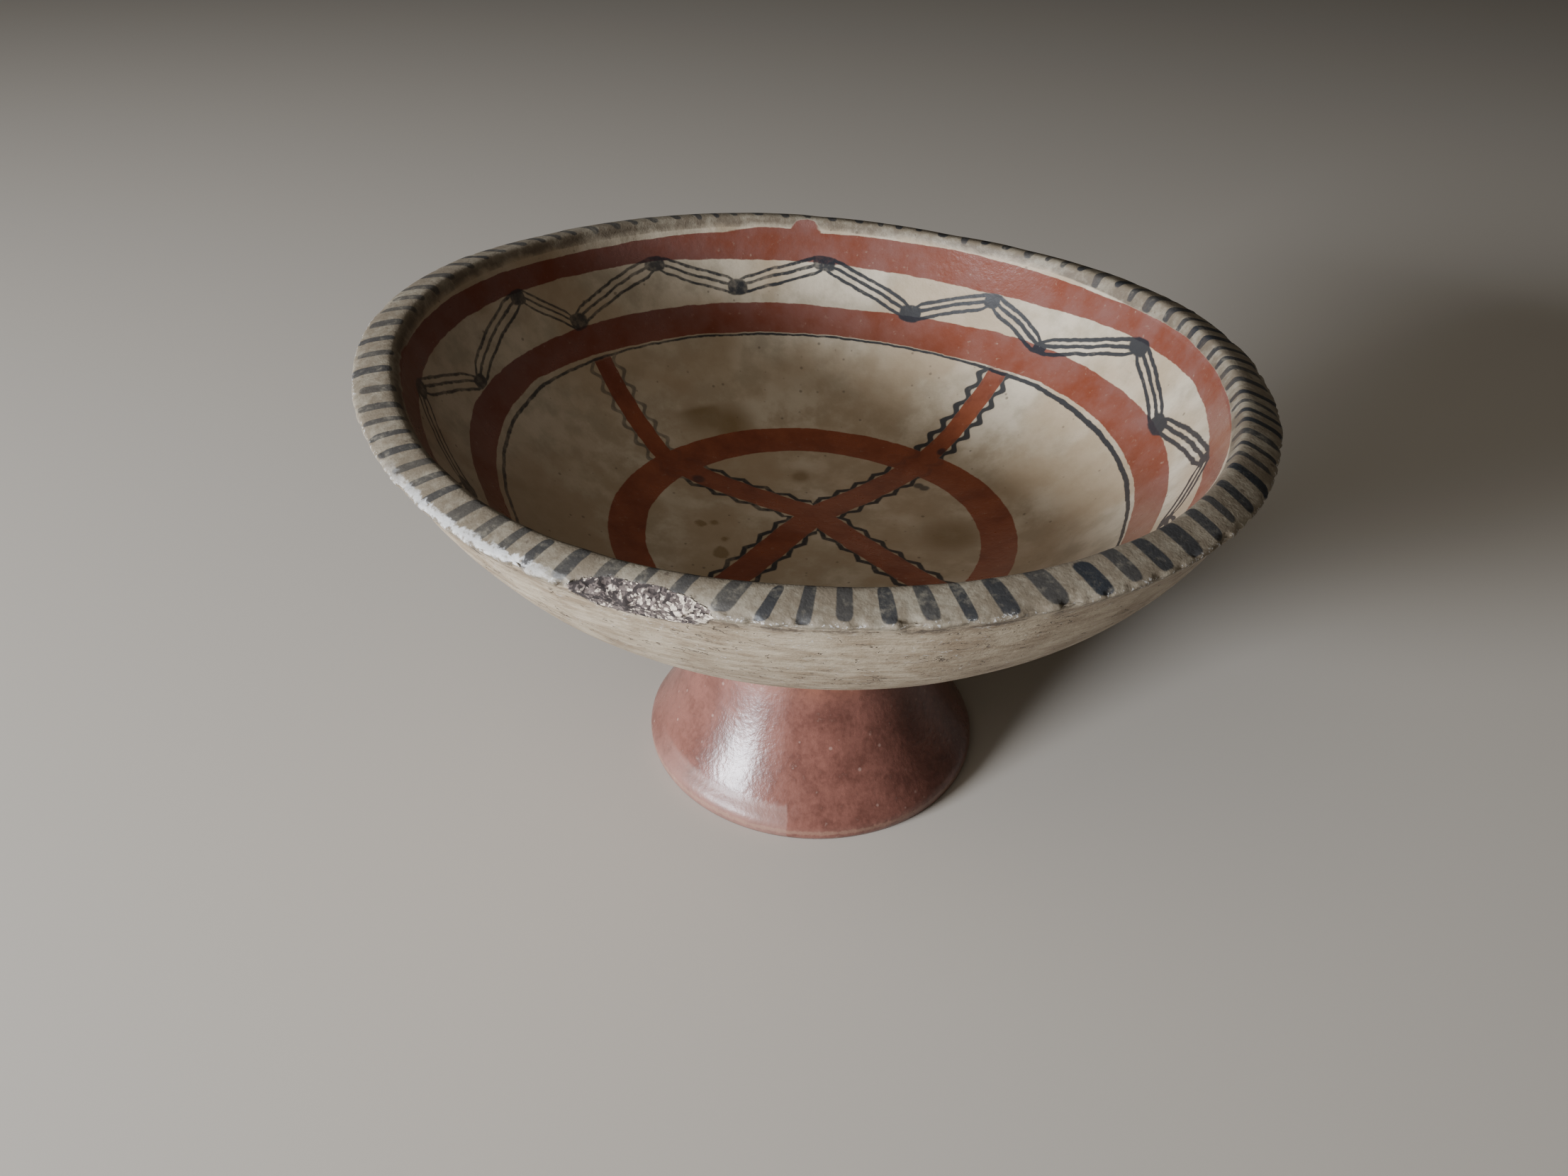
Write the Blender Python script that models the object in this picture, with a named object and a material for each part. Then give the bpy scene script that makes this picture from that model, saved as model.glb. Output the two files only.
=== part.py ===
"""Hand-built footed bowl of fired clay: a wide open bowl on a low flaring foot, one piece.

Metres, +Z up. The bowl stands on its foot ring at z = 0, and the origin is under the middle of
its footprint. The shape is a turned profile, put slightly out of true as a bowl built by hand is:
it is a little out of round, its rim rises and falls, it leans on its foot, its wall is thicker on
one side, and one chip is missing from the outer edge of the lip.
"""

import math

import bmesh
import bpy
from mathutils import Vector
from mathutils.geometry import interpolate_bezier

# Rim and lip
rim_radius = 0.0980           # outer crease of the lip
rim_height = 0.1058           # outer crease above the table
lip_width = 0.0090            # from the crease to the bowl's inner edge, measured flat
lip_rise = 0.0016             # the inner edge stands this much above the crease
lip_drop = 0.0035             # depth of the bevel below the crease
lip_overhang = 0.0027         # how far the crease stands out past the wall under it
crease_rounding = 0.0012
inner_rounding = 0.0016

# Bowl
bowl_depth = 0.0490           # from the inner edge down to the middle of the floor
floor_radius = 0.0440         # the nearly flat floor, where it turns up into the wall
floor_rise = 0.0024           # its edge stands this much above its middle
floor_slope = math.radians(15)
floor_spread = 0.0260         # handles of the floor's curve, at its middle and at its edge
floor_turn = 0.0080
wall_turn = 0.0140            # handle of the inner wall where it leaves the floor
inside_lean = 0.0100          # handle of the inner wall at the rim: how far it leans in
inside_run = 0.0253           # and how far down it runs
belly_lean = 0.0090           # the same for the outer wall
belly_run = 0.0264
belly_spread = 0.0276         # handle of the belly where it leaves the foot
belly_slope = math.radians(20)

# Foot
foot_radius = 0.0428          # outer edge, at its widest
foot_ring_width = 0.0062      # flat ring that touches the table
foot_edge_height = 0.0030     # short upright edge above the ring
foot_edge_lean = 0.0009
foot_flare = 0.0067           # handle of the foot's curve at its edge: how far it turns out
foot_flare_height = 0.0080
neck_radius = 0.0242
neck_height = 0.0424
neck_lean = 0.0023            # handle of the same curve at the neck
neck_run = 0.0154
neck_fillet = 0.0045
foot_wall = 0.0062
floor_thickness = 0.0100      # clay between the bowl's floor and the hollow of the foot
foot_off_centre = (0.0015, -0.0013)

# Put out of true by hand: (times round, along cosine, along sine)
out_of_round = (
    (2, -0.0070, 0.0038),
    (3, -0.0219, 0.0043),
    (4, 0.0008, 0.0025),
    (5, -0.0008, 0.0045),
    (6, 0.0045, 0.0010),
)
rim_waves = ((2, 0.00081, -0.00291), (3, -0.00049, 0.00033), (5, -0.00037, 0.00036))
bowl_lean = math.radians(0.57)          # the right side of the bowl is the lower one
wall_unevenness = 0.0023                # the outside hangs this much lower on the thick side
unevenness_start = 0.0200               # and does so in full from this far below the lip
thick_side = math.radians(8)

# Chip at the lip's outer edge
chip_middle = math.radians(-108)
chip_length = 0.0256
chip_depth = 0.0040           # how far it bites into the top of the lip
chip_height = 0.0030          # how far it runs down the side

# Steps of the surface
columns = 96
floor_steps = 5
wall_steps = 9
belly_steps = 11
fillet_steps = 3
foot_steps = 9
hollow_steps = 6

clay_colour = (0.46, 0.36, 0.27, 1.0)
clay_roughness = 0.6


def curve(start, start_handle, end_handle, end, steps):
    """A Bezier run in the profile plane, x = radius and y = height."""
    knots = [Vector((*point, 0.0)) for point in (start, start_handle, end_handle, end)]
    return [(point.x, point.y) for point in interpolate_bezier(*knots, steps + 1)]


def inside_profile():
    """The floor, a shallow dish, and the wall that rises from it to the inner edge of the lip."""
    inner_edge = (rim_radius - lip_width, rim_height + lip_rise - inner_rounding)
    middle = rim_height + lip_rise - bowl_depth
    edge = Vector((floor_radius, middle + floor_rise))
    slope = Vector((math.cos(floor_slope), math.sin(floor_slope)))
    floor = curve((0.0, middle), (floor_spread, middle), edge - slope * floor_turn, edge, floor_steps)
    wall = curve(edge, edge + slope * wall_turn,
                 (inner_edge[0] - inside_lean, inner_edge[1] - inside_run), inner_edge, wall_steps)
    return floor + wall[1:]


def lip_profile():
    inner_radius = rim_radius - lip_width
    inner_height = rim_height + lip_rise
    return [(inner_radius + 0.35 * inner_rounding, inner_height - 0.3 * inner_rounding),
            (inner_radius + 1.1 * inner_rounding, inner_height),
            (rim_radius - 0.45 * lip_width, rim_height + 0.6 * lip_rise),
            (rim_radius - 1.3 * crease_rounding, rim_height + 0.2 * crease_rounding),
            (rim_radius - 0.2 * crease_rounding, rim_height - 0.35 * crease_rounding),
            (rim_radius, rim_height - crease_rounding)]


def belly_profile():
    """The outer wall from under the lip, and the fillet that runs it into the neck of the foot."""
    wall = (rim_radius - lip_overhang, rim_height - lip_drop)
    slope = Vector((math.cos(belly_slope), math.sin(belly_slope)))
    neck = Vector((neck_radius, neck_height))
    root = neck + Vector((0.45 * neck_fillet, 0.75 * neck_fillet))
    start = root + slope * neck_fillet
    outside = curve(wall, (wall[0] - belly_lean, wall[1] - belly_run),
                    start + slope * belly_spread, start, belly_steps)
    fillet = curve(start, start - slope * 0.6 * neck_fillet,
                   neck + Vector((0.0, 0.6 * neck_fillet)), neck, fillet_steps)
    return outside + fillet[1:]


def foot_profile():
    """The flaring foot, from below the neck out to its edge."""
    return curve((neck_radius, neck_height),
                 (neck_radius + neck_lean, neck_height - neck_run),
                 (foot_radius - foot_flare, foot_edge_height + foot_flare_height),
                 (foot_radius, foot_edge_height), foot_steps)[1:]


def hollow_profile():
    inner_edge = foot_radius - foot_edge_lean - foot_ring_width
    hollow_height = rim_height + lip_rise - bowl_depth - floor_thickness
    return curve((inner_edge - 0.3 * foot_edge_lean, foot_edge_height),
                 (foot_radius - foot_flare - foot_wall, foot_edge_height + foot_flare_height),
                 (neck_radius + neck_lean - foot_wall, hollow_height),
                 (0.0, hollow_height), hollow_steps)


def profile():
    """Radius, height and zone, from the middle of the floor over the lip and down into the foot."""
    edge_radius = foot_radius - foot_edge_lean
    ring = [(edge_radius, 0.0), (edge_radius - foot_ring_width, 0.0)]
    runs = (("inside", inside_profile()), ("lip", lip_profile()), ("belly", belly_profile()),
            ("foot", foot_profile()), ("ring", ring), ("hollow", hollow_profile()))
    return [(radius, height, zone) for zone, run in runs for radius, height in run]


def waves(terms, angle):
    return sum(c * math.cos(n * angle) + s * math.sin(n * angle) for n, c, s in terms)


def eased(amount):
    amount = max(0.0, min(1.0, amount))
    return amount * amount * (3 - 2 * amount)


def chip(angle):
    """1 in the middle of the chip and 0 outside it, with ragged ends."""
    along = math.remainder(angle - chip_middle, 2 * math.pi) * rim_radius / (0.5 * chip_length)
    if abs(along) >= 1:
        return 0.0
    return min(1.0, 2.2 * (1 - abs(along))) * (0.9 + 0.1 * math.cos(9 * along))


def chipped(radius, height, angle):
    """The lip's outer edge with the chip taken off as a slope."""
    reach = (radius - (rim_radius - chip_depth)) / chip_depth
    if reach <= 0:
        return radius, height
    bite = 0.55 * chip(angle) * min(1.0, reach)
    return radius - bite * chip_depth, height - bite * chip_height


def placed(radius, height, zone, angle):
    """A point of the true profile, moved to where the potter's hand left it."""
    share = 0.0
    if zone in ("inside", "lip", "belly"):
        share = min(1.0, radius / rim_radius)
    if zone == "lip":
        radius, height = chipped(radius, height, angle)
    if zone == "belly":
        share *= eased((radius - neck_radius) / (0.15 * rim_radius))
        uneven = share * eased((rim_height - lip_drop - height) / unevenness_start)
        height -= wall_unevenness * uneven * math.cos(angle - thick_side)
    radius *= 1 + share * waves(out_of_round, angle)
    height += share * waves(rim_waves, angle)
    x, y = radius * math.cos(angle), radius * math.sin(angle)
    rise = height - neck_height
    if rise > 0:
        x, height = x + rise * math.tan(bowl_lean), height - x * math.tan(bowl_lean) * share
    shift = 1.0 - eased(height / neck_height)
    return Vector((x + shift * foot_off_centre[0], y + shift * foot_off_centre[1], height))


def skin(maker, upper, lower):
    """Faces between two neighbouring rings, one of which may be a single point."""
    for i in range(columns):
        j = (i + 1) % columns
        if len(upper) == 1:
            maker.faces.new((upper[0], lower[i], lower[j]))
        elif len(lower) == 1:
            maker.faces.new((upper[i], lower[0], upper[j]))
        else:
            maker.faces.new((upper[i], lower[i], lower[j], upper[j]))


def build():
    maker = bmesh.new()
    rings = []
    for radius, height, zone in profile():
        turns = columns if radius > 0 else 1
        rings.append([maker.verts.new(placed(radius, height, zone, 2 * math.pi * i / columns))
                      for i in range(turns)])
    for upper, lower in zip(rings, rings[1:]):
        skin(maker, upper, lower)
    bmesh.ops.recalc_face_normals(maker, faces=maker.faces)

    corners = [vert.co for vert in maker.verts]
    middle = [(max(c[k] for c in corners) + min(c[k] for c in corners)) / 2 for k in range(2)]
    bmesh.ops.translate(maker, verts=maker.verts, vec=(-middle[0], -middle[1], 0.0))

    mesh = bpy.data.meshes.new("footed_bowl")
    maker.to_mesh(mesh)
    maker.free()
    mesh.shade_smooth()
    mesh.set_sharp_from_angle(angle=math.radians(50))
    bowl = bpy.data.objects.new("footed_bowl", mesh)
    bpy.context.scene.collection.objects.link(bowl)
    return bowl


def clay():
    material = bpy.data.materials.new("slipped_clay")
    material.use_nodes = True
    shader = material.node_tree.nodes["Principled BSDF"]
    shader.inputs["Base Color"].default_value = clay_colour
    shader.inputs["Roughness"].default_value = clay_roughness
    shader.inputs["Metallic"].default_value = 0.0
    return material


for thing in list(bpy.data.objects):
    bpy.data.objects.remove(thing, do_unlink=True)

build().data.materials.append(clay())
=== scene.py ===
from math import cos, hypot, pi, radians, sin, tau
import bpy
import numpy as np
from mathutils import Matrix, Vector, noise


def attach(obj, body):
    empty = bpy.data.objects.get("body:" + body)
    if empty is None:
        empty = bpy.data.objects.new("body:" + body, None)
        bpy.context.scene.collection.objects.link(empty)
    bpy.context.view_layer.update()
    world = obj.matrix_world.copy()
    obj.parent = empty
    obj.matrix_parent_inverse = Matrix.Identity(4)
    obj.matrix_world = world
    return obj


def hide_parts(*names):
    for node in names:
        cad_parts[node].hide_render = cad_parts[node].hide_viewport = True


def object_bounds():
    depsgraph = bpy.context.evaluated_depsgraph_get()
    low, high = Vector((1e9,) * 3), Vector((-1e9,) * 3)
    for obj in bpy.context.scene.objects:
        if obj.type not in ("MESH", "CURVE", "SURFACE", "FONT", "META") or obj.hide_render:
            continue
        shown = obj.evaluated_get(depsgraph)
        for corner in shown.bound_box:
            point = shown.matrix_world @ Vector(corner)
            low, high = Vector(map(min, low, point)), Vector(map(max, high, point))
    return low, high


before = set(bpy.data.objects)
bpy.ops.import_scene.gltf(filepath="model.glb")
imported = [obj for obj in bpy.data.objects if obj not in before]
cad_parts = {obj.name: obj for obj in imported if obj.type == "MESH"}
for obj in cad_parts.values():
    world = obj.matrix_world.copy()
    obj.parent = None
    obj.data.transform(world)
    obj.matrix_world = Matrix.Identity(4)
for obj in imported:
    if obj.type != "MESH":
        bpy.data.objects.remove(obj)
cadLow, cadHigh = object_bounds()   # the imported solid's box, in metres
mm = .001


# the photographed view: a hand-held camera in front of the bowl, looking down into it
view = {
    "place": (-.00525, -.24052, .21047),
    "down": 34.87,      # degrees below the horizon
    "roll": 1.90,
    "lens": 27.10,      # in mm, as the sensor's width is
    "sensor": 36,
    "nearest": .01,
}


def addCamera():
    down, roll = radians(view["down"]), radians(view["roll"])
    side, up = Vector((1, 0, 0)), Vector((0, sin(down), cos(down)))
    back = Vector((0, -cos(down), sin(down)))
    right = cos(roll) * side + sin(roll) * up
    above = cos(roll) * up - sin(roll) * side
    bpy.ops.object.camera_add()
    camera = bpy.context.object
    turned = Matrix((right, above, back)).transposed().to_4x4()
    camera.matrix_world = Matrix.Translation(view["place"]) @ turned
    camera.data.lens, camera.data.sensor_width = view["lens"], view["sensor"]
    camera.data.clip_start = view["nearest"]
    bpy.context.scene.camera = camera


# soft window-like light from the front left, with a weak fill all round
lights = {
    "window": {"turn": -143, "height": 14, "away": 1.2, "size": (.40, .17), "power": 36,
               "tint": (.87, .92, 1), "mirrored": True},
    "soft": {"turn": -125, "height": 48, "away": 1.6, "size": (1.3, 1.3), "power": 7,
             "tint": (1, .95, .87), "mirrored": False},
    "aim": (0, 0, .06),     # the spot in the bowl that both lamps face
    "sky": {"tint": (1, .93, .80), "strength": .058},
    "floor": {"size": 6, "tint": (.50, .455, .395), "roughness": .8},
}


def addLights():
    for name in ("window", "soft"):
        lamp = lights[name]
        turn, height = radians(lamp["turn"]), radians(lamp["height"])
        towards = Vector((cos(turn) * cos(height), sin(turn) * cos(height), sin(height)))
        bpy.ops.object.light_add(type="AREA", location=towards * lamp["away"] + Vector(lights["aim"]))
        light = bpy.context.object
        light.name = name
        light.rotation_euler = towards.to_track_quat("Z", "Y").to_euler()
        light.data.shape = "RECTANGLE"
        light.data.size, light.data.size_y = lamp["size"]
        light.data.energy, light.data.color = lamp["power"], lamp["tint"]
        light.visible_glossy = lamp["mirrored"]
    world = bpy.data.worlds.new("soft room")
    world.use_nodes = True
    sky = world.node_tree.nodes["Background"]
    sky.inputs["Color"].default_value = (*lights["sky"]["tint"], 1)
    sky.inputs["Strength"].default_value = lights["sky"]["strength"]
    bpy.context.scene.world = world


def addFloor():
    pale = lights["floor"]
    bpy.ops.mesh.primitive_plane_add(size=pale["size"])
    floor = bpy.context.object
    floor.name = "floor"
    paint = bpy.data.materials.new("pale floor")
    paint.use_nodes = True
    shader = paint.node_tree.nodes["Principled BSDF"]
    shader.inputs["Base Color"].default_value = (*pale["tint"], 1)
    shader.inputs["Roughness"].default_value = pale["roughness"]
    floor.data.materials.append(paint)


# the bowl's fine surface, in millimetres. "along" is the distance along the profile from the floor's middle,
# and a turn is in degrees round the bowl, 0 to the right and -90 in front
shape = {
    "axis": 5,                      # nothing but the two poles lies this near the middle
    "detail": 2,                    # rounds of subdivision
    "crease": .8,                   # keeps the standing ring's two edges firm
    "creased": .1,                  # how near the ground those edges lie
    "finer": (118.6, 121.2, -45),   # the part of the lip's edge cut finer: along, and how far back
    "finerChip": -.05,              # the same round the chip, where its own measure is 0 on the outline
    "inside": 109,                  # where the inside ends
    "lip": (108, 122, 1.5),         # the other surfaces: from, to, how softly they end
    "edge": (117.4, 121.6, 1.2),    # the lip's outer edge, which takes the wear
    "belly": (120.4, 222, 3),
    "foot": (218, 266, 3),
    "ring": (264, 276, 2),          # the standing ring, which stays flat
    "lump": (20, .16),              # hand-built unevenness: size of a patch, height
    "lumpShare": (.8, 1.3),         # how much of it inside, and outside
    "stroke": (28, 3.0, .05),       # smoothing strokes round the outside: length, width, height
    "facet": (7, 40, .10),          # upright burnishing facets on the foot: width, length, height
    "footRadius": 40,
    "flat": {"along": (257.6, 264, 1.5), "turns": (-156, -94, 2.5), "slope": .10},   # on the foot's edge
    "lipLump": (9, .20),
    "wear": (2.3, .45),             # crumbled outer edge of the lip
    "grain": (1.7, .60),            # broken clay in the chip
    "breakEdge": (2.5, .4),         # how fast the break sets in, and how unevenly
    "breakDepth": .15,
    "settled": 3,                   # the lowest part, moved so that the bowl still stands on the ground
}
chip = {"turn": -108.5, "along": 120.6, "halfTurn": 7.9, "halfAlong": 5.0}

# nicks in the lip's edge, the seen ones as (turn, along, radius, depth)
nicks = {
    "seen": ((-122, 119.6, 2.4, .8), (-116.3, 120, 1.3, 1.1), (-101.5, 119.6, 1.8, .6), (-97, 119.9, 1.4, .5),
             (-82.8, 119.5, 2.4, .7), (-68.6, 119.2, 1.9, .7), (-49, 119.8, 1.5, .5), (-143, 119.8, 2, .6)),
    "small": 70,                    # scattered by chance along the same edge
    "along": (119.7, .7),           # their middle and spread
    "radius": (.7, 1.7),
    "depth": (.12, .40),
    "seed": 4,
    "lipRadius": 97,
    "crumbly": 1.2,                 # wider nicks than this have an uneven floor
    "crumbs": .6,
}


def onlySelect(piece):
    bpy.ops.object.select_all(action="DESELECT")
    piece.select_set(True)
    bpy.context.view_layer.objects.active = piece


def copyOfSolid(node, name):
    piece = bpy.data.objects.new(name, node.data.copy())
    bpy.context.scene.collection.objects.link(piece)
    piece.data.name = name
    piece.data.materials.clear()
    onlySelect(piece)
    bpy.ops.mesh.customdata_custom_splitnormals_clear()
    bpy.ops.object.mode_set(mode="EDIT")
    bpy.ops.mesh.select_all(action="SELECT")
    bpy.ops.mesh.remove_doubles(threshold=1e-6)
    bpy.ops.object.mode_set(mode="OBJECT")
    return piece


def selectNothing():
    bpy.ops.object.mode_set(mode="EDIT")
    bpy.ops.mesh.select_all(action="DESELECT")
    bpy.ops.object.mode_set(mode="OBJECT")


def pairTriangles(piece, ring):
    # back to four-sided faces, but for the fans at the two poles
    selectNothing()
    last = ring.max()
    for face in piece.data.polygons:
        corners = ring[list(face.vertices)]
        face.select = bool(corners.min() > 0 and corners.max() < last)
    bpy.ops.object.mode_set(mode="EDIT")
    bpy.ops.mesh.tris_convert_to_quads(face_threshold=1, shape_threshold=1.2)
    bpy.ops.object.mode_set(mode="OBJECT")


def ringsOf(mesh):
    # the solid is rings of points between two poles: each point's ring, counted from the bowl's floor
    neighbours = [[] for _ in mesh.vertices]
    for edge in mesh.edges:
        a, b = edge.vertices
        neighbours[a].append(b)
        neighbours[b].append(a)
    central = [v for v in mesh.vertices if hypot(v.co.x, v.co.y) < shape["axis"] * mm]
    start = max(central, key=lambda v: v.co.z).index
    ring = np.full(len(neighbours), -1)
    ring[start], front, count = 0, [start], 0
    while front:
        count += 1
        front = list({b for a in front for b in neighbours[a] if ring[b] < 0})
        ring[front] = count
    return ring


def readPoints(mesh):
    flat = np.empty(len(mesh.vertices) * 3)
    mesh.vertices.foreach_get("co", flat)
    return flat.reshape(-1, 3) / mm


def readNormals(mesh):
    flat = np.empty(len(mesh.vertices) * 3)
    mesh.vertex_normals.foreach_get("vector", flat)
    return flat.reshape(-1, 3)


def readAlong(mesh):
    values = np.empty(len(mesh.vertices))
    mesh.attributes["along"].data.foreach_get("value", values)
    return values


def store(mesh, name, values, domain="POINT"):
    values = np.ascontiguousarray(values, np.float32)
    mesh.attributes.new(name, "FLOAT", domain).data.foreach_set("value", values)


def measureProfile(mesh):
    # the walk along the profile: each ring's distance from the floor's middle, and its centre
    ring, points = ringsOf(mesh), readPoints(mesh)
    count = ring.max() + 1
    middle = np.array([points[ring == k].mean(axis=0) for k in range(count)])
    radius = np.array([np.hypot(*(points[ring == k] - middle[k])[:, :2].T).mean() for k in range(count)])
    along = np.concatenate([[0], np.cumsum(np.hypot(np.diff(radius), np.diff(middle[:, 2])))])
    store(mesh, "along", along[ring])
    return ring, {"along": along, "middle": middle}


def turnsOf(points, along, walk):
    # degrees round the ring that each point lies on
    x, y = (points[:, k] - np.interp(along, walk["along"], walk["middle"][:, k]) for k in (0, 1))
    return np.degrees(np.arctan2(y, x))


def turnGap(turn, other):
    return (turn - other + 180) % 360 - 180


def inChip(turn, along):
    # 1 at the chip's middle, 0 on its outline
    across = turnGap(turn, chip["turn"]) / chip["halfTurn"]
    return 1 - across ** 2 - ((along - chip["along"]) / chip["halfAlong"]) ** 2


def refine(piece, chosen):
    # cuts the faces in four whose corners are all in chosen
    for face in piece.data.polygons:
        face.select = all(chosen[list(face.vertices)])
    bpy.ops.object.mode_set(mode="EDIT")
    bpy.ops.mesh.select_mode(type="FACE")
    bpy.ops.mesh.subdivide(number_cuts=1, ngon=False)
    bpy.ops.object.mode_set(mode="OBJECT")


def addDetail(piece, ring, walk):
    mesh = piece.data
    crease = np.zeros(len(mesh.edges), np.float32)
    for edge in mesh.edges:
        a, b = edge.vertices
        top = max(mesh.vertices[a].co.z, mesh.vertices[b].co.z)
        if top < shape["creased"] * mm and ring[a] == ring[b]:
            crease[edge.index] = shape["crease"]
    mesh.attributes.new("crease_edge", "FLOAT", "EDGE").data.foreach_set("value", crease)
    finer = piece.modifiers.new("finer", "SUBSURF")
    finer.levels = finer.render_levels = shape["detail"]
    bpy.ops.object.modifier_apply(modifier=finer.name)
    along = readAlong(mesh)
    selectNothing()
    near, far, back = shape["finer"]
    refine(piece, (along > near) & (along < far) & (readPoints(mesh)[:, 1] < back))
    along = readAlong(mesh)
    refine(piece, inChip(turnsOf(readPoints(mesh), along, walk), along) > shape["finerChip"])


def unevenness(points, size):
    return np.array([noise.noise(Vector(p)) for p in points / size])


def window(value, low, high, soft):
    return np.clip((value - low) / soft, 0, 1) * np.clip((high - value) / soft, 0, 1)


def nickList():
    chance = np.random.default_rng(nicks["seed"])
    rows = list(nicks["seen"])
    for _ in range(nicks["small"]):
        rows.append((chance.uniform(-180, 180), chance.normal(*nicks["along"]),
                     chance.uniform(*nicks["radius"]), chance.uniform(*nicks["depth"])))
    return rows


def handMade(points, along, turn):
    # lumps, strokes, facets and the flat on the foot's edge: how far out each point moves
    lip, belly, foot, ring = (window(along, *shape[name]) for name in ("lip", "belly", "foot", "ring"))
    size, height = shape["lump"]
    share = np.where(along < shape["inside"], *shape["lumpShare"])
    move = height * unevenness(points, size) * share * (1 - ring)
    long, wide, height = shape["stroke"]
    move += height * belly * unevenness(points, np.array((long, long, wide)))
    wide, tall, height = shape["facet"]
    x, y = np.sin(np.radians(turn)), np.cos(np.radians(turn))
    upright = [along / tall, x * shape["footRadius"] / wide, y * shape["footRadius"] / wide]
    move += height * foot * unevenness(np.stack(upright, 1), 1)
    flat = shape["flat"]
    tilt = window(along, *flat["along"]) * window(turn, *flat["turns"])
    move += flat["slope"] * (along - sum(flat["along"][:2]) / 2) * tilt
    size, height = shape["lipLump"]
    return move + height * lip * unevenness(points + 50, size)


def worn(points, along, turn):
    # crumbled edge and nicks: how far in each point moves
    size, height = shape["wear"]
    edge = window(along, *shape["edge"])
    move = height * edge * np.clip(unevenness(points, size) + .05, 0, 1)
    crumbly = 1 + nicks["crumbs"] * unevenness(points, 1)
    for where, at, radius, depth in nickList():
        away = np.hypot(np.radians(turnGap(turn, where)) * nicks["lipRadius"], along - at) / radius
        dent = depth * np.clip(1 - away ** 2, 0, 1)
        move += dent * crumbly if radius > nicks["crumbly"] else dent
    return move


def roughen(piece, walk):
    # hand-made unevenness, wear and breaks, as small moves along the surface's own normals
    mesh = piece.data
    points, normals, along = readPoints(mesh), readNormals(mesh), readAlong(mesh)
    turn = turnsOf(points, along, walk)
    move = handMade(points, along, turn) - worn(points, along, turn)
    onset, ragged = shape["breakEdge"]
    broken = np.clip(inChip(turn, along) * onset + ragged * unevenness(points, 2), 0, 1)
    size, height = shape["grain"]
    grain = unevenness(points, size) + .6 * unevenness(points, size * .45)
    move += height * broken * grain - shape["breakDepth"] * broken
    points += normals * move[:, None]
    points = np.clip(points, np.array(cadLow) / mm, np.array(cadHigh) / mm)
    lowest = points[:, 2].min()
    points[:, 2] -= lowest * np.clip(1 - points[:, 2] / shape["settled"], 0, 1)
    mesh.vertices.foreach_set("co", (points * mm).ravel())
    mesh.update()
    store(mesh, "bare", broken)


def buildBowl():
    piece = copyOfSolid(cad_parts["footed_bowl"], "painted_bowl")
    ring, walk = measureProfile(piece.data)
    pairTriangles(piece, ring)
    print("profile walked:", len(walk["along"]), "rings,", round(walk["along"][-1], 1), "mm long")
    addDetail(piece, ring, walk)
    roughen(piece, walk)
    bpy.ops.object.shade_smooth()
    triangles = sum(len(face.vertices) - 2 for face in piece.data.polygons)
    print("finer surface:", triangles, "triangles")
    return piece, walk


# the painting's layout as (turn, along), measured on the pot
painting = {
    "bandOneOut": ((-175, 110), (174, 108.6), (140, 107), (98, 108), (66, 109.3), (37, 107.5), (15, 109.4),
                   (-9, 108.7), (-30, 107.2), (-90, 108.5)),
    "bandOneIn": ((180, 102.2), (150, 101.5), (122, 101), (105, 99.5), (60, 98.8), (45, 99.4), (27, 101),
                  (5, 102.3), (-13, 100.7), (-23, 99.1), (-90, 101)),
    "bandTwoOut": ((-160, 83.5), (-170, 85.6), (178, 87.5), (140, 88.6), (83, 87.2), (50, 89.3), (0, 89.4),
                   (-20, 88.3), (-30, 87.1), (-95, 88.3)),
    "bandTwoIn": ((-160, 76.8), (177, 79.5), (160, 81.3), (120, 79.8), (95, 78.9), (60, 79.4), (38, 80.5),
                  (0, 79.6), (-26, 78.2), (-95, 79.4)),
    "innerRing": (40.3, 49.0),
    "lineGap": ((180, 2.2), (160, 2.0), (130, .7), (60, .5), (44, 1.2), (20, 2.0), (-10, 1.8), (-28, .9),
                (-95, 1)),
    "lineHalf": ((180, .45), (130, .28), (60, .32), (30, .65), (0, .62), (-25, .45), (-95, .4)),
    "zigzag": ((-32.3, 91.2), (-19.1, 98.7), (5.5, 90.0), (22.8, 100.0), (43.2, 88.9), (56.3, 97.0),
               (71.2, 88.6), (89.3, 99.2), (106.8, 92.1), (122.5, 100.4), (143.4, 90.0), (152.5, 100.5),
               (172.1, 89.4), (187.7, 101.7)),       # inner and outer corners in turn
    "unseenCorners": 8,
    "unseenAt": (89.8, 99.8),
    "dashes": 91,                                    # round the lip
    "dashSlant": ((-160, -1.2), (-140, -1.3), (-129, -.5), (-115, -.8), (-97, -1.9), (-92, -.4), (-87, 0),
                  (-80, .6), (-71, .9), (-55, 0), (-39, -2.3), (-17, -1.5), (2, -.8), (60, .6), (180, .4)),
    "dashMiddle": 115.5,                             # along, where a slanted dash has its own turn
    "dashReach": 8,                                  # how far from there it leans by its slant
    "dashSpacing": ((.16, 5, 1), (.12, 11, 4), (.10, 23, 0)),    # uneven by waves: size, number, start
}


def closedLoop(points, turn):
    turns, values = zip(*points)
    return np.interp(turn, turns, values, period=360)


def zigzagCorners():
    corners = list(painting["zigzag"])
    unseen = painting["unseenCorners"]
    first, last = corners[0][0] + 360, corners[-1][0]
    for k in range(unseen):
        corners.append((last + (first - last) * (k + 1) / (unseen + 1), painting["unseenAt"][k % 2]))
    return corners


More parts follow.
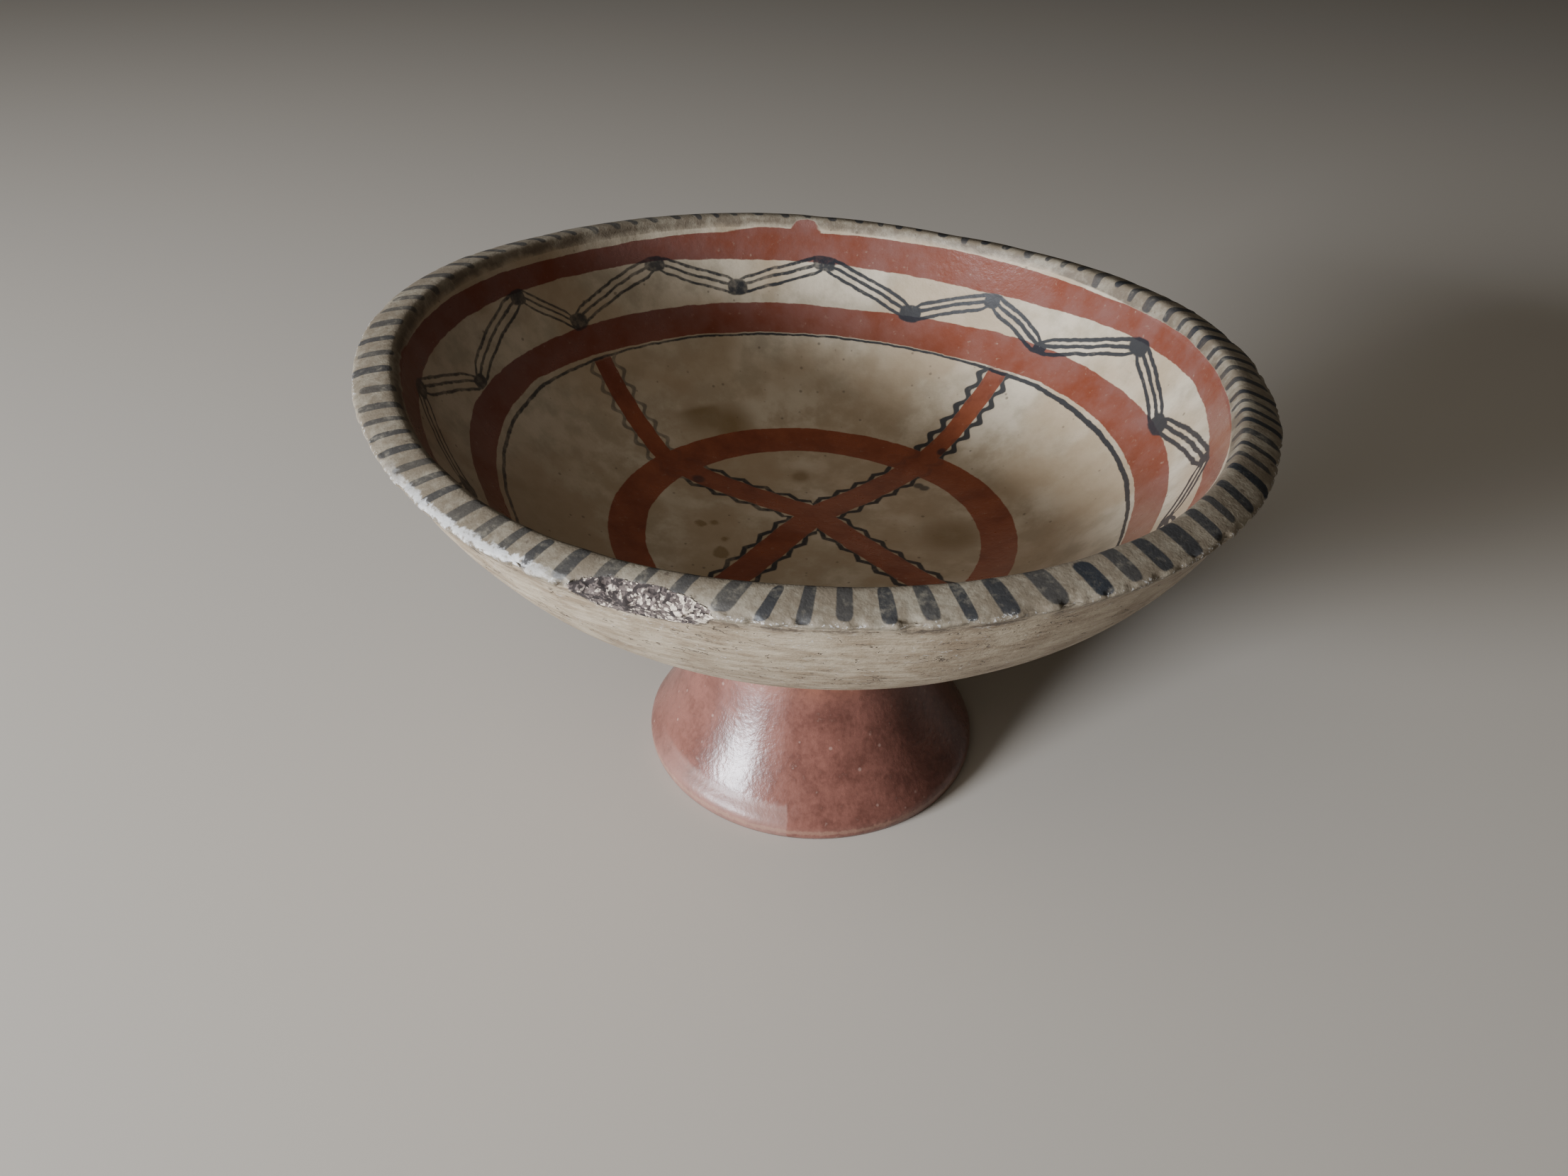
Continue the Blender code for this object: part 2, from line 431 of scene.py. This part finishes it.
def cornerTurns(mesh, turn):
    # the turn at every face corner, with no jump inside a face
    vertex = np.empty(len(mesh.loops), int)
    mesh.loops.foreach_get("vertex_index", vertex)
    starts, totals = np.empty(len(mesh.polygons), int), np.empty(len(mesh.polygons), int)
    mesh.polygons.foreach_get("loop_start", starts)
    mesh.polygons.foreach_get("loop_total", totals)
    here = turn[vertex]
    first = np.repeat(here[starts], totals)
    return vertex, here - 360 * np.round((here - first) / 360)


def layOutPainting(piece, walk):
    mesh = piece.data
    along = readAlong(mesh)
    turn = turnsOf(readPoints(mesh), along, walk)
    for band in ("bandOne", "bandTwo"):              # how deep inside the band a point lies
        outer, inner = (closedLoop(painting[band + side], turn) for side in ("Out", "In"))
        store(mesh, band, np.minimum(outer - along, along - inner))
    gap = closedLoop(painting["lineGap"], turn)
    store(mesh, "lineOff", along - closedLoop(painting["bandTwoIn"], turn) + gap)
    store(mesh, "lineHalf", closedLoop(painting["lineHalf"], turn))
    corners = zigzagCorners()
    store(mesh, "zigzagIn", closedLoop(corners[0::2], turn))
    store(mesh, "zigzagOut", closedLoop(corners[1::2], turn))
    vertex, cornerTurn = cornerTurns(mesh, turn)
    turns = [t - 360 for t, _ in corners] + [t for t, _ in corners]
    steps = np.arange(len(turns)) - len(corners)
    store(mesh, "zigzagStep", np.interp(cornerTurn, turns, steps), "CORNER")
    lean = (along[vertex] - painting["dashMiddle"]) / painting["dashReach"]
    slanted = cornerTurn - closedLoop(painting["dashSlant"], cornerTurn) * lean
    angle = np.radians(slanted)
    uneven = sum(size * np.sin(count * angle + start) for size, count, start in painting["dashSpacing"])
    store(mesh, "dashStep", slanted * painting["dashes"] / 360 + uneven, "CORNER")
    print("painting laid out:", len(corners) // 2, "zigzags,", painting["dashes"], "dashes")


# shader maths: a Wire is an output socket that can be used in sums
class Wire:
    def __init__(self, tree, socket=None):
        self.tree, self.socket = tree, socket

    def node(self, kind, settings=None, inputs=None, output=0):
        made = self.tree.nodes.new("ShaderNode" + kind)
        for name, value in (settings or {}).items():
            setattr(made, name, value)
        for key, value in (inputs or {}).items():
            if isinstance(value, Wire):
                self.tree.links.new(value.socket, made.inputs[key])
            else:
                made.inputs[key].default_value = value
        return Wire(self.tree, made.outputs[output])

    def math(self, operation, *values):
        return self.node("Math", {"operation": operation}, dict(enumerate(values)))

    def __add__(self, other):
        return self.math("ADD", self, other)

    def __sub__(self, other):
        return self.math("SUBTRACT", self, other)

    def __rsub__(self, other):
        return self.math("SUBTRACT", other, self)

    def __mul__(self, other):
        return self.math("MULTIPLY", self, other)

    def __truediv__(self, other):
        return self.math("DIVIDE", self, other)

    def __pow__(self, other):
        return self.math("POWER", self, other)

    def __mod__(self, other):
        return self.math("FLOORED_MODULO", self, other)

    def __lt__(self, other):
        return self.math("LESS_THAN", self, other)

    def __abs__(self):
        return self.math("ABSOLUTE", self)

    __radd__, __rmul__ = __add__, __mul__

    def atLeast(self, other):
        return self.math("MAXIMUM", self, other)

    def atMost(self, other):
        return self.math("MINIMUM", self, other)

    def floor(self):
        return self.math("FLOOR", self)

    def sine(self):
        return self.math("SINE", self)

    def fade(self, low, high):
        # 0 at low, 1 at high, soft between
        settings = {"interpolation_type": "SMOOTHSTEP"}
        return self.node("MapRange", settings, {"Value": self, "From Min": low, "From Max": high})

    def between(self, low, high):
        # the 0 to 1 range spread over low to high
        return low + self * (high - low)

    def colour(self, zero, one):
        # a colour where this is 0, another where it is 1
        zero, one = (value if isinstance(value, Wire) else (*value, 1) for value in (zero, one))
        return self.node("Mix", {"data_type": "RGBA"}, {0: self, 6: zero, 7: one}, 2)

    def attribute(self, name):
        return self.node("Attribute", {"attribute_name": name}, output=2)

    def noise(self, place, size, detail=2, roughness=.5):
        inputs = {"Vector": place, "Scale": 1 / size, "Detail": detail, "Roughness": roughness}
        return self.node("TexNoise", {}, inputs)

    def vector(self, operation, other, output=0):
        return self.node("VectorMath", {"operation": operation}, {0: self, 1: other}, output)

    def stretched(self, sizes):
        # a place measured in units of a different size along x, y and z
        return self.vector("MULTIPLY", tuple(1 / size for size in sizes))

    def split(self, channel):
        return self.node("SeparateColor", {}, {0: self}, channel)


def most(masks):
    whole = masks[0]
    for mask in masks[1:]:
        whole = whole.atLeast(mask)
    return whole


def spots(x, y, places, wobble, soft):
    # round marks on the bowl's floor, as (left, far, radius)
    masks = []
    for left, far, radius in places:
        away = (((x - left) ** 2 + (y - far) ** 2) ** .5 + wobble) / radius
        masks.append(away.fade(1 + soft, 1 - soft))
    return most(masks)


# the red cross: four arms on the floor that go on up the wall, each with a wavy black line along its edges
arms = {
    "middle": (2.0, 10.0),              # where they meet: left, far
    "turns": (155.5, 43, 236.3, 308.1),
    "half": 3.65,                       # half an arm's width on the floor
    # up the wall, as (left, far, turn, half the black line's thickness)
    "wall": ((-36.5, 27, 136, .5), (31.5, 37.5, 43, .72), (-26, -32, 232, .5), (33, -30, 318, .6)),
    "wallHalf": 2.8,
    "wallBack": 9,                      # how far each wall arm begins before its own point
    "floorEnd": (44.5, 45.5),           # along, hidden in the red ring
    "wallEnd": (80.5, 78.5),            # along, hidden in the second band
    "periods": (6.4, 5.4),              # of the wavy line on the floor, up the wall
    "reach": 1.9,                       # how far it swings out from an arm
    "lineHalf": .50,                    # half its thickness
    "slope": .72,                       # keeps it as thick where it runs aslant
    "shift": .45,                       # by how much of a wave its two edges differ
    "rounded": (.8, .05),               # on the floor it's pointed, and only a little round
    "soft": (.12, .16),                 # of the red, of the black
    "wobble": .7,
}


def armPaint(side, phase, half, thick, wobble, pointed):
    redSoft, lineSoft = arms["soft"]
    wobble = wobble * arms["wobble"]
    red = (abs(side) - wobble).fade(half + redSoft, half - redSoft)
    phase = phase + (side < 0) * arms["shift"]
    if pointed:
        sharp, rounded = arms["rounded"]
        swing = abs((phase % 1) - .5) * 2
        swing = swing * sharp + ((phase * tau).sine() * -.5 + .5) * rounded
    else:
        swing = (phase * tau).sine() * .5 + .5
    middle = swing * arms["reach"] + (half - .1)
    away = abs(abs(side) + wobble - middle) * arms["slope"]
    return red, away.fade(thick + lineSoft, thick - lineSoft)


def armFrame(x, y, left, far, turn):
    # how far along an arm's middle line, and how far to its side
    c, s = cos(radians(turn)), sin(radians(turn))
    dx, dy = x - left, y - far
    return dx * c + dy * s, dy * c - dx * s


def crossArms(x, y, along, wobble):
    reds, lines = [], []
    floorPeriod, wallPeriod = arms["periods"]
    start, end = arms["floorEnd"]
    floorArms = []
    for turn in arms["turns"]:
        run, side = armFrame(x, y, *arms["middle"], turn)
        floorArms.append((run, side, abs(side) + (run < 0) * 100))      # behind the middle there's no arm
    floorOnly = along.fade(end, start)
    for run, side, away in floorArms:
        red, line = armPaint(side, run / floorPeriod, arms["half"], arms["lineHalf"], wobble, True)
        front = 1 - (run < 0)
        others = [other[2] for other in floorArms if other[2] is not away]
        nearest = others[0].atMost(others[1]).atMost(others[2])
        reds.append(red * front * floorOnly)
        lines.append(line * front * (away < nearest) * floorOnly)
    wallOnly = along.fade(start, end) * along.fade(*arms["wallEnd"])
    for left, far, turn, thick in arms["wall"]:
        run, side = armFrame(x, y, left, far, turn)
        red, line = armPaint(side, along / wallPeriod, arms["wallHalf"], thick, wobble, False)
        front = (run + arms["wallBack"]).fade(0, .5) * wallOnly
        reds.append(red * front)
        lines.append(line * front)
    return most(reds), most(lines)


# the bundle of three black lines that zigzags between the two bands
zigzag = {
    "half": (.37, .56),         # half a line's thickness, at the left and at the right
    "leftToRight": (-50, 60),
    "spread": 1.95,             # from the bundle's middle to its outer lines
    "closed": .55,              # how much of that is left at the corners
    "lines": (-1, .08, 1),      # where the three lie in the bundle
    "slope": .93,               # along is measured a little aslant to the lines
    "soft": .16,
    "wobble": .8,
    "cell": 24,                 # from one corner to the next
    "dot": (2.7, 2.0),          # half sizes of the dots at the corners
    "dotSize": (.75, .5),       # smallest, and by how much they differ
    "blotch": (1.3, .7),        # how softly a dot ends
    "from": (84, 85),
    "to": (105, 104),
}


def zigzagLines(wire, x, along, wobble):
    step, inner, outer = (wire.attribute(name) for name in ("zigzagStep", "zigzagIn", "zigzagOut"))
    climb = 1 - abs((step % 2) - 1)                  # 0 at the inner corners, 1 at the outer ones
    off = (along - inner - (outer - inner) * climb) * zigzag["slope"] + wobble * zigzag["wobble"]
    closed = zigzag["closed"]
    spread = ((climb * pi).sine() * 3).atMost(1) * (1 - closed) + closed
    half = x.fade(*zigzag["leftToRight"]).between(*zigzag["half"])
    lines = []
    for share in zigzag["lines"]:
        away = abs(off - spread * (zigzag["spread"] * share)) - half
        lines.append(away.fade(zigzag["soft"], -zigzag["soft"]))
    nearest = (step + .5).floor()
    corner = abs(step - nearest) * zigzag["cell"]
    level = inner + (outer - inner) * (climb + .5).floor()
    pick = wire.node("TexWhiteNoise", {"noise_dimensions": "1D"}, {"W": nearest})
    least, more = zigzag["dotSize"]
    wide, tall = (size * (pick * more + least) for size in zigzag["dot"])
    dot = ((corner / wide) ** 3 + (abs(along - level) / tall) ** 3 + wobble).fade(*zigzag["blotch"])
    return most(lines + [dot]) * along.fade(*zigzag["from"]) * along.fade(*zigzag["to"])


# the black dashes across the lip
dashes = {
    "half": (1.25, 1.50),       # half a dash's width at the back, in front
    "backToFront": (-50, -92),
    "width": (.78, 1.15),       # by how much single dashes differ
    "reach": (3.612, 4.73),     # half a dash's length, shortest and longest
    "middle": (114.5, 115.8),
    "strength": (.80, 1),
    "apart": 6.6,
    "right": (60, 90),          # at the right they start farther in
    "farther": 1.2,
    "wobble": .6,
    "blotch": (1.3, .7),        # how softly a dash ends
}


def lipDashes(wire, along, x, y, wobble):
    step = wire.attribute("dashStep")
    index = step.floor() % painting["dashes"]
    picks = wire.node("TexWhiteNoise", {"noise_dimensions": "1D"}, {"W": index}, 1)
    wide, long, shift = (picks.split(channel) for channel in range(3))
    half = y.fade(*dashes["backToFront"]).between(*dashes["half"]) * wide.between(*dashes["width"])
    across = abs((step % 1) - .5) * dashes["apart"]
    farther = x.fade(*dashes["right"]) * dashes["farther"]
    reach = long.between(*dashes["reach"]) + farther
    middle = shift.between(*dashes["middle"]) - farther
    outline = (across / half) ** 3 + (abs(along - middle) / reach) ** 6 + wobble * dashes["wobble"]
    return outline.fade(*dashes["blotch"]) * shift.between(*dashes["strength"])


# a slip of the brush under the lip: a thin stroke from one point to another
slipOfBrush = {
    "first": (-62.5, -71.5, 102.4),
    "last": (-56.2, -73.6, 96.6),
    "half": 1.1,
    "soft": .15,
}


def brushStroke(place, wobble):
    first, soft = slipOfBrush["first"], slipOfBrush["soft"]
    way = Vector(slipOfBrush["last"]) - Vector(first)
    off = place.vector("SUBTRACT", first)
    run = off.vector("DOT_PRODUCT", tuple(way.normalized()), 1)
    far = off.node("VectorMath", {"operation": "LENGTH"}, {0: off}, 1)
    side = (far * far - run * run).atLeast(0) ** .5
    taper = (run / way.length * pi).sine().atLeast(0)
    edge = (side + wobble * .3 - taper * slipOfBrush["half"]).fade(soft, -soft)
    return edge * (run < way.length) * (1 - (run < 0))


# colours as the clay and slips would look in plain light
colours = {
    "cream": (.53, .455, .345),
    # creamWarm is also the painted shade deeper in the bowl
    "creamWarm": (.36, .265, .165),
    "creamGrey": (.37, .315, .23),
    "stain": (.17, .105, .035),
    "red": (.27, .080, .038),
    "redDeep": (.165, .042, .021),
    "redDusky": (.187, .084, .068),
    "black": (.017, .020, .025),
    "lip": (.265, .23, .172),
    "lipDull": (.165, .132, .092),
    # pale wear on crumbs and scratches, and the painted highlight on the lip's front-left edge
    "worn": (.60, .59, .57),
    # dark dirt in specks and cracks, and the painted shade under the lip
    "grimeAndShade": (.085, .062, .043),
    "belly": (.41, .34, .245),
    "bellyWarm": (.23, .17, .11),
    "foot": (.205, .085, .064),
    "footDeep": (.11, .042, .031),
    "footWarm": (.26, .098, .052),
    # dust flecks, and the painted light on the foot's front-left facet
    "dustAndSheen": (.50, .36, .30),
    "clay": (.36, .235, .16),
    "breakDark": (.030, .022, .020),
    "breakMiddle": (.13, .10, .088),
    "breakLight": (.64, .55, .44),
}

# what lies on the inside: marks on the floor as (left, far, radius), and spills as (left, along, half width,
# half length)
inside = {
    "smudges": ((-28, 21.6, 1.7), (35.4, 38.4, 1.2), (28.7, 25.6, 1.3), (30, 24.2, 1.2)),
    "stains": ((-21, 45.2, 5), (-26, 46, 4), (-1.8, 28, 2.2), (34.6, 1, 7), (-30, 47, 6), (-22.8, 3.7, .9),
               (-19.9, -2.5, .9), (-20, -9, 1), (-26, 2, .8)),
    "floorMarks": (60, 58),         # along, where marks on the floor end
    "spills": ((-12, 106.6, 13, 2.8), (-2.5, 108.2, 4.2, 2.9)),   # red that ran towards the lip at the back
    "spillEdge": (1.15, .85),
    "redSoft": .14,
    "lineSoft": .15,
    "linesEnd": (84, 83),           # along, where the wavy lines and the edge line end
    "underRed": .8,                 # how much of a black line the red covers
    "shadeFrom": (80, 50),           # along, where the painted shade deeper in the bowl sets in
}


def insideRed(wire, cross, x, y, along, wobble):
    soft = inside["redSoft"]
    inner, outer = painting["innerRing"]
    ring = (along + wobble * .5 - inner).atMost(outer - along - wobble * .5).fade(-soft, soft)
    bands = [(wire.attribute(name) + wobble * .7).fade(-soft, soft) for name in ("bandOne", "bandTwo")]
    spills = []
    for left, level, wide, tall in inside["spills"]:
        away = ((x - left) / wide) ** 2 + ((along - level) / tall) ** 2 + wobble * .7
        spills.append(away.fade(*inside["spillEdge"]) * (1 - (y < 0)))
    return most([cross, ring] + spills + bands), most(bands)


def insideBlack(wire, wavy, red, bands, x, y, along, tones):
    wobble, fine, patch = tones["wobble"], tones["fine"], tones["patch"]
    soft, under = inside["lineSoft"], inside["underRed"]
    edgeLine = abs(wire.attribute("lineOff") + wobble * .8) - wire.attribute("lineHalf") * 1.1
    edgeLine = edgeLine.fade(soft, -soft) * (1 - bands * under)
    wavy = wavy * (1 - red * under) * along.fade(42, 38).atLeast(x.fade(-20, 20) * .3 + .68)
    lines = most([wavy, edgeLine]) * along.fade(*inside["linesEnd"])
    smudges = spots(x, y, inside["smudges"], wobble, .35) * along.fade(*inside["floorMarks"])
    black = most([lines, zigzagLines(wire, x, along, wobble), smudges * .8])
    clear = x.fade(-50, 40) * .35 + (fine * .5 + patch * .5).fade(.30, .60) * .4     # fainter on the left
    return black * (clear + .50).atMost(.96)


def creamSlip(x, y, along, tones):
    patch, broad = tones["patch"], tones["broad"]
    cream = (patch.fade(.38, .66) * .9).colour(colours["cream"], colours["creamGrey"])
    cream = (broad.fade(.42, .62) * .7).colour(cream, colours["creamWarm"])
    # painted shade: the cream is darker and warmer deeper in the bowl, mottled, and stronger on the left,
    # away from the light
    deepShade = along.fade(*inside["shadeFrom"]) * (broad * .35 + patch * .65).fade(.32, .56)
    cream = (deepShade * x.fade(75, 5).between(.35, .6)).colour(cream, colours["creamWarm"])
    cream = (tones["specks"] * .55).colour(cream, colours["grimeAndShade"])
    stained = spots(x, y, inside["stains"], (patch - .5) * 9, .7) * along.fade(*inside["floorMarks"])
    return (stained * .7).colour(cream, colours["stain"])


def insidePaint(wire, x, y, along, tones):
    cross, wavy = crossArms(x, y, along, tones["wobble"])
    red, bands = insideRed(wire, cross, x, y, along, tones["wobble"])
    ink = insideBlack(wire, wavy, red, bands, x, y, along, tones)
    slip = along.fade(60, 90).colour(colours["red"], colours["redDusky"])
    slip = (tones["patch"] * .6 + tones["broad"] * .4).fade(.36, .68).colour(slip, colours["redDeep"])
    slip = (tones["fine"].fade(.62, .8) * .25).colour(slip, colours["cream"])
    colour = red.colour(creamSlip(x, y, along, tones), slip)
    return ink.colour(colour, colours["black"]), red, ink


# where the paints meet and where wear shows, all along the profile
meeting = {
    "lipIn": (109.4, 110.2),
    "lipOut": (120.8, 121.4),
    "bandOnLip": (113, 111),        # how far up the lip the first band's paint still shows
    "sooty": (112, 109.5),
    "litEdge": 118.9,
    "crumbs": 119.9,
    "crease": 122.2,                # painted shade under the lip
    "neck": 219.5,                  # where the foot's red slip starts
    "neckSoft": .35,
    "footWarm": (236, 222),
    "footDull": (238, 226),
    "footEdge": 264.6,
    "under": (268, 271),
    "scrapedAndLit": 258.2,               # a scraped facet along the foot's edge starts here, painted lighter on the side that faces the light
    "scrapeEnd": -2.6,              # and ends this far right
}


def lipPaint(wire, along, x, y, tones):
    fine, patch, grain = tones["fine"], tones["patch"], tones["grain"]
    mottled = patch * .6 + fine * .4
    ground = mottled.fade(.33, .57).colour(colours["lip"], colours["lipDull"])
    ground = (tones["specks"] * .8).colour(ground, colours["grimeAndShade"])
    rubbed = (fine * .6 + patch * .4).fade(.30, .50)
    ink = lipDashes(wire, along, x, y, tones["wobble"]) * (rubbed * .42 + x.fade(-80, 60) * .16 + .40)
    ground = ink.colour(ground, colours["black"])
    sooty = along.fade(*meeting["sooty"]) * patch.fade(.45, .6) * .5
    ground = sooty.colour(ground, colours["grimeAndShade"])
    # painted highlight: a pale band along the lip's outer edge, only on the front left where the window's
    # light catches it, in the pale wear colour
    bare = (abs(along - meeting["litEdge"]) + (fine - .5) * 4).fade(1.3, .4) * mottled.fade(.34, .46)
    bare = bare * x.fade(-38, -50) * y.fade(-48, -66)
    crumbs = (abs(along - meeting["crumbs"]) + (fine - .5) * 2.4).fade(.8, .3)
    crumbs = crumbs * (patch * .4 + grain * .6).fade(.54, .60)
    return (bare * .85).atLeast(crumbs * .6).colour(ground, colours["worn"])


def bellyPaint(wire, place, along, x, tones):
    fine, patch = tones["fine"], tones["patch"]
    streak = wire.noise(place.stretched((9, 9, 1.6)), 1, 5, .7)
    colour = (streak * .55 + patch * .45).fade(.36, .62).colour(colours["belly"], colours["bellyWarm"])
    thin = wire.noise(place.stretched((7, 7, 2.4)), 1, 3)
    cracks = abs(thin - .5).fade(.012, .003) * (patch * .5 + fine * .5).fade(.50, .56)
    scratches = abs(thin - .42).fade(.010, .002) * fine.fade(.5, .6)
    colour = (scratches * .5).colour(colour, colours["worn"])
    colour = (tones["specks"] * .6).colour(colour, colours["grimeAndShade"])
    colour = (cracks * .85).colour(colour, colours["grimeAndShade"])
    # painted shade under the lip: a dark band along the crease, mottled, stronger towards the right
    crease = (abs(along - meeting["crease"]) + (fine - .5) * 4).fade(1.6, .4)
    crease = crease * (patch * .6 + fine * .4).fade(.42, .54)
    colour = (crease * x.fade(-60, 0).between(.2, .95)).colour(colour, colours["grimeAndShade"])
    stroke = brushStroke(place, tones["wobble"])
    return (stroke * .85).colour(colour, colours["black"]), streak, cracks


def footPaint(along, x, y, tones):
    patch, broad, fine = tones["patch"], tones["broad"], tones["fine"]
    colour = along.fade(*meeting["footWarm"]).colour(colours["foot"], colours["footWarm"])
    colour = (patch * .45 + broad * .25 + fine * .3).fade(.40, .66).colour(colour, colours["footDeep"])
    end, start = meeting["scrapeEnd"], meeting["scrapedAndLit"]
    # painted light: a lighter band on the front-left facet of the foot's edge, where it faces the window; the
    # same band is also rougher
    scrapedAndLit = (x + fine).fade(end + .7, end + .1) * y.fade(-8, -28)
    scrapedAndLit = scrapedAndLit * (along + fine * 2).fade(start, start + 1.6)
    rubbed = (fine * .6 + patch * .4).fade(.60, .74)
    flecksAndSheen = (tones["specks"] * .3).atLeast(rubbed * .35).atLeast(scrapedAndLit * .17)
    colour = flecksAndSheen.colour(colour, colours["dustAndSheen"])
    edge = (abs(along - meeting["footEdge"]) + (fine - .5) * 2).fade(.9, .3)
    return (edge * .3).colour(colour, colours["clay"]), scrapedAndLit


def brokenClay(wire, place, x, tones):
    # grains of temper in a fresh break: dark clay, grey-brown and pale grits
    bent = place.vector("ADD", tones["drift"])
    grits = []
    for channel, scale in enumerate((.85, 2.1)):
        cells = wire.node("TexVoronoi", {}, {"Vector": bent, "Scale": scale, "Randomness": 1}, "Color")
        grits.append(cells.split(channel))
    tone = grits[0] * .5 + grits[1] * .5 + x.fade(-40, -14) * .34 - .16
    dark = tone.fade(.30, .55).colour(colours["breakDark"], colours["breakMiddle"])
    return tone.fade(.60, .78).colour(dark, colours["breakLight"]), tone


# the noises that the paints share: size in mm, detail, roughness
noises = {
    "broad": (30, 3),
    "patch": (8, 5, .62),
    "fine": (1.5, 3, .6),
    "grain": (.5, 2, .6),
}
# how rough each surface is, and what makes it more or less so
dullness = {"inside": .42, "red": -.13, "ink": .06, "lip": .60, "outside": .58, "foot": .29, "scrapedAndLit": .12,
            "neck": .16, "under": .40, "broken": .35, "patch": .14, "specks": .1}
# the fine relief's heights in mm
relief = {"patch": .16, "fine": .08, "grain": .05, "streak": .45, "crack": .25, "brushed": .035, "crumb": 1.3}


def sharedTones(wire, place):
    tones = {name: wire.noise(place, *values) for name, values in noises.items()}
    tones["drift"] = wire.node("TexNoise", {}, {"Vector": place, "Scale": .4, "Detail": 1}, "Color")
    tones["wobble"] = (wire.noise(place, 6, 2) - .5) * 1.3 + (tones["fine"] - .5) * .45
    dots = wire.node("TexVoronoi", {}, {"Vector": place, "Scale": .42, "Randomness": 1}, "Distance")
    chosen = Wire(wire.tree, dots.socket.node.outputs["Color"]).split(0)
    tones["specks"] = (dots + (1 - chosen) * .6).fade(.26, .12)
    return tones


def clayMaterial():
    material = bpy.data.materials.new("slipped clay")
    material.use_nodes = True
    wire = Wire(material.node_tree)
    shader = material.node_tree.nodes["Principled BSDF"]
    coords = wire.node("TexCoord", output="Object")
    place = wire.node("VectorMath", {"operation": "SCALE"}, {0: coords, "Scale": 1 / mm})
    x, y = (wire.node("SeparateXYZ", {}, {0: place}, k) for k in range(2))
    along, bare = wire.attribute("along"), wire.attribute("bare")
    tones = sharedTones(wire, place)
    wobble, patch, fine = tones["wobble"], tones["patch"], tones["fine"]

    outStart, outEnd = meeting["lipOut"]
    neck, soft = meeting["neck"], meeting["neckSoft"]
    farther = x.fade(*dashes["right"]) * 2.4
    lip = (along + wobble * .6 + farther).fade(*meeting["lipIn"]) * along.fade(outEnd, outStart)
    outside = along.fade(outStart, outEnd)
    foot = (along + wobble * 1.3).fade(neck - soft, neck + soft)
    under = along.fade(*meeting["under"])
    broken = (bare + (fine - .5) * .4).fade(.08, .25)

    colour, red, ink = insidePaint(wire, x, y, along, tones)
    lipColour = lipPaint(wire, along, x, y, tones)
    colour = (lip * (1 - red * along.fade(*meeting["bandOnLip"]))).colour(colour, lipColour)
    bellyColour, streak, cracks = bellyPaint(wire, place, along, x, tones)
    colour = outside.colour(colour, bellyColour)
    footColour, scrapedAndLit = footPaint(along, x, y, tones)
    colour = foot.colour(colour, footColour)
    rawClay = patch.fade(.3, .7).colour(colours["clay"], colours["bellyWarm"])
    colour = under.colour(colour, rawClay)
    breakColour, crumb = brokenClay(wire, place, x, tones)
    colour = broken.colour(colour, breakColour)
    wire.tree.links.new(colour.socket, shader.inputs["Base Color"])

    dull = dullness["inside"] + red * dullness["red"] + ink * dullness["ink"]
    dull = dull * (1 - lip) + lip * dullness["lip"]
    dull = dull * (1 - outside) + outside * dullness["outside"]
    atNeck = along.fade(*meeting["footDull"]) * dullness["neck"]
    dull = dull * (1 - foot) + foot * (dullness["foot"] + scrapedAndLit * dullness["scrapedAndLit"] + atNeck)
    dull = dull + under * dullness["under"] + broken * dullness["broken"]
    dull = dull + (patch - .5) * dullness["patch"] + tones["specks"] * dullness["specks"]
    wire.tree.links.new(dull.socket, shader.inputs["Roughness"])

    brushed = wire.noise(place.stretched((.8, .8, 3.5)), 1, 2)
    belly = (1 - foot) * outside
    height = (patch - .5) * relief["patch"] + (fine - .5) * relief["fine"]
    height = height + (tones["grain"] - .5) * relief["grain"] * (lip + belly)
    height = height + belly * ((streak - .5) * relief["streak"] - cracks * relief["crack"])
    height = height + foot * (brushed - .5) * relief["brushed"]
    height = height + broken * ((crumb - .5) * relief["crumb"])
    bump = wire.node("Bump", {}, {"Height": height, "Distance": mm, "Strength": 1})
    wire.tree.links.new(bump.socket, shader.inputs["Normal"])
    print("slipped clay made:", len(material.node_tree.nodes), "nodes")
    return material


addCamera()
addLights()
addFloor()
print("camera, lights and floor set")
bowl, walk = buildBowl()
layOutPainting(bowl, walk)
bowl.data.materials.append(clayMaterial())
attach(bowl, "root")
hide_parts("footed_bowl")
print("bowl placed on its body")
